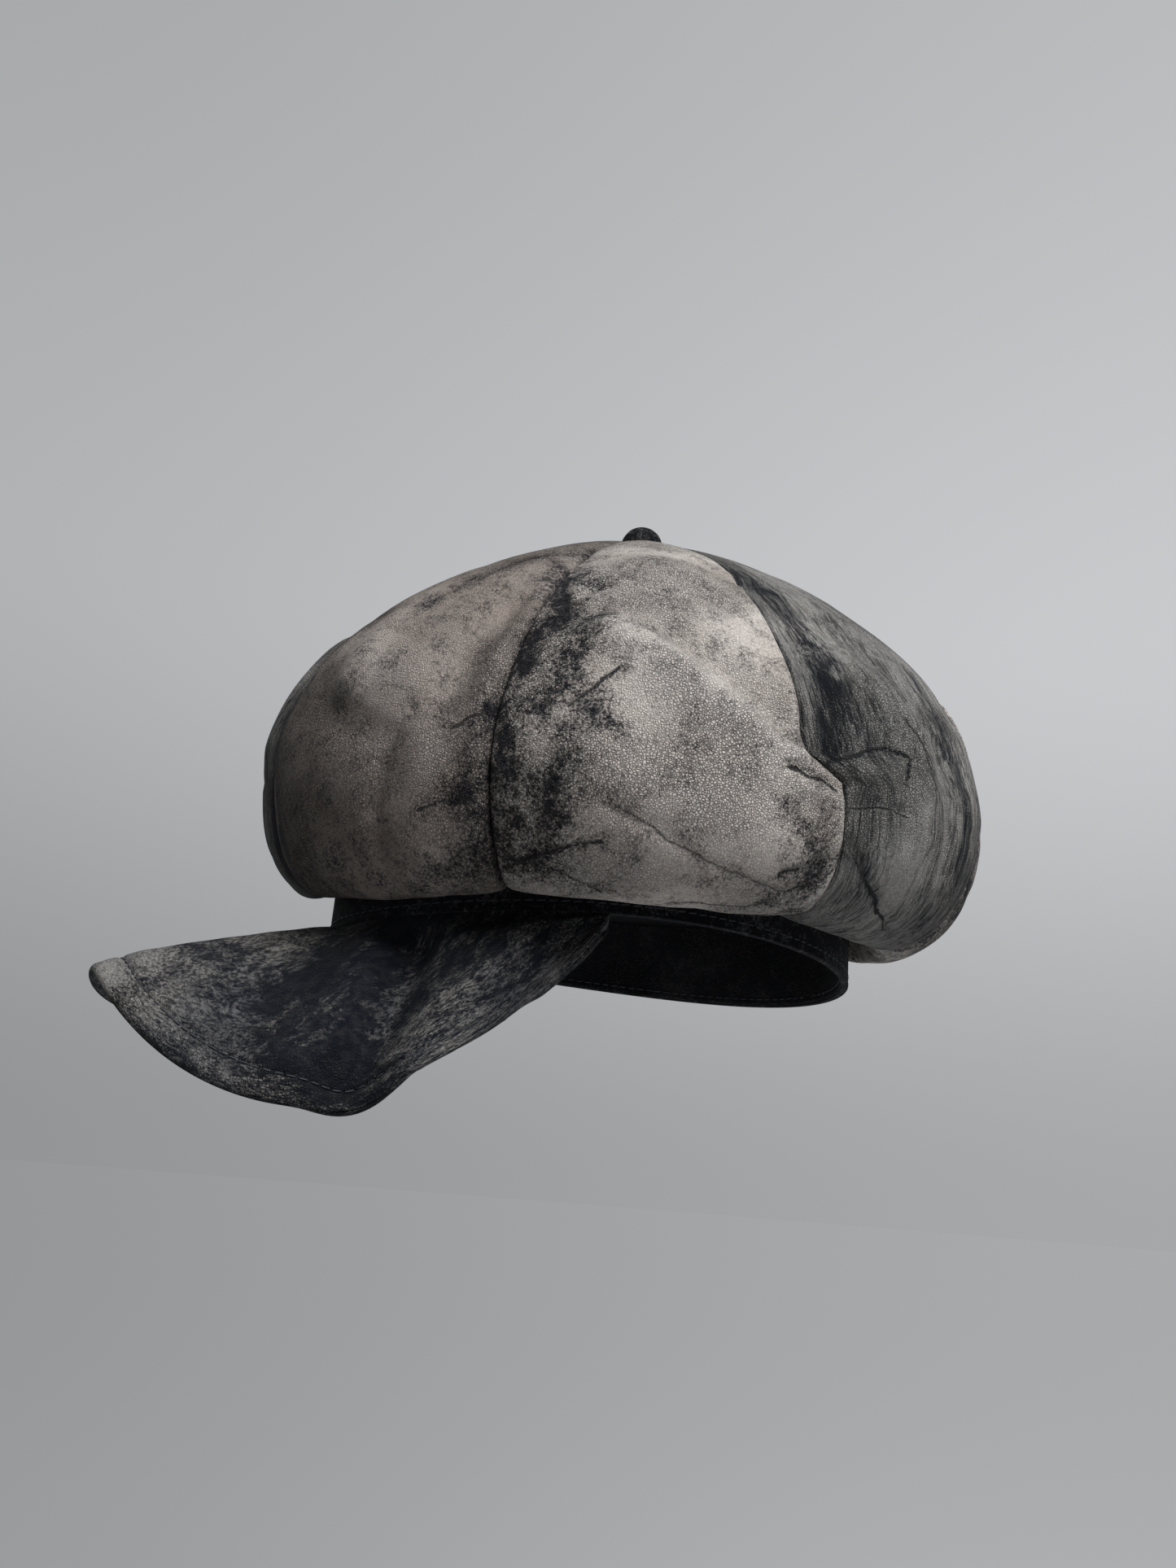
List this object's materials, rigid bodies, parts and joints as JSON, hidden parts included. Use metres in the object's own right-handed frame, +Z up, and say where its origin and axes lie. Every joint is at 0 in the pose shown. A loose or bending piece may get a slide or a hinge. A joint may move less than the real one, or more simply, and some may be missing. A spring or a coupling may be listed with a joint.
{
  "type": "newsboy cap",
  "caption": "Soft paneled leather newsboy cap with a puffed crown folded over a plain headband, a covered top button and a drooping flexible visor.",
  "frame": {"origin": "middle of the head opening, level with the band's lower edge at the wearer's ears", "axes": "+Z up out of the wearer's head, -Y forward over the visor, +X towards the wearer's left"},
  "size_m": [0.2818, 0.3349, 0.2507],
  "materials": {
    "crown_leather": "matt nubuck with uneven dark dye along the seams",
    "band_leather": "matt nubuck, nearly black with blue-grey mottling",
    "visor_leather": "matt nubuck, dark with grey mottling",
    "button_leather": "matt nubuck, dark",
    "sweatband_leather": "smooth satin sheep leather",
    "patch_leather": "raw split leather",
    "lining_cloth": "satin-woven lining cloth",
    "buckram": "stiffened open weave",
    "visor_board": "flexible polyethylene visor board",
    "button_metal": "pressed sheet",
    "thread": "waxed polyester thread"
  },
  "bodies": {
    "cap": {"crown_panel_front_left": "crown_leather", "crown_panel_left_front": "crown_leather", "crown_panel_left_back": "crown_leather", "crown_panel_back_left": "crown_leather", "crown_panel_back_right": "crown_leather", "crown_panel_right_back": "crown_leather", "crown_panel_right_front": "crown_leather", "crown_panel_front_right": "crown_leather", "lining_gore_front_left": "lining_cloth", "lining_gore_left_front": "lining_cloth", "lining_gore_left_back": "lining_cloth", "lining_gore_back_left": "lining_cloth", "lining_gore_back_right": "lining_cloth", "lining_gore_right_back": "lining_cloth", "lining_gore_right_front": "lining_cloth", "lining_gore_front_right": "lining_cloth", "headband": "band_leather", "band_stiffener": "buckram", "sweatband": "sweatband_leather", "button_cover": "button_leather", "button_shell": "button_metal", "button_back": "button_metal", "apex_patch": "patch_leather", "button_thread": "thread"},
    "visor": {"visor_top": "visor_leather", "visor_board": "visor_board", "visor_under": "visor_leather"}
  },
  "joints": [
    {"name": "visor_flex", "type": "hinge", "parent": "cap", "child": "visor", "pos_m": [0, -0.1066, -0.00645], "axis": [-1, 0, 0], "range_deg": [0, 22], "stiffness_Nm_per_rad": 0.4}
  ]
}
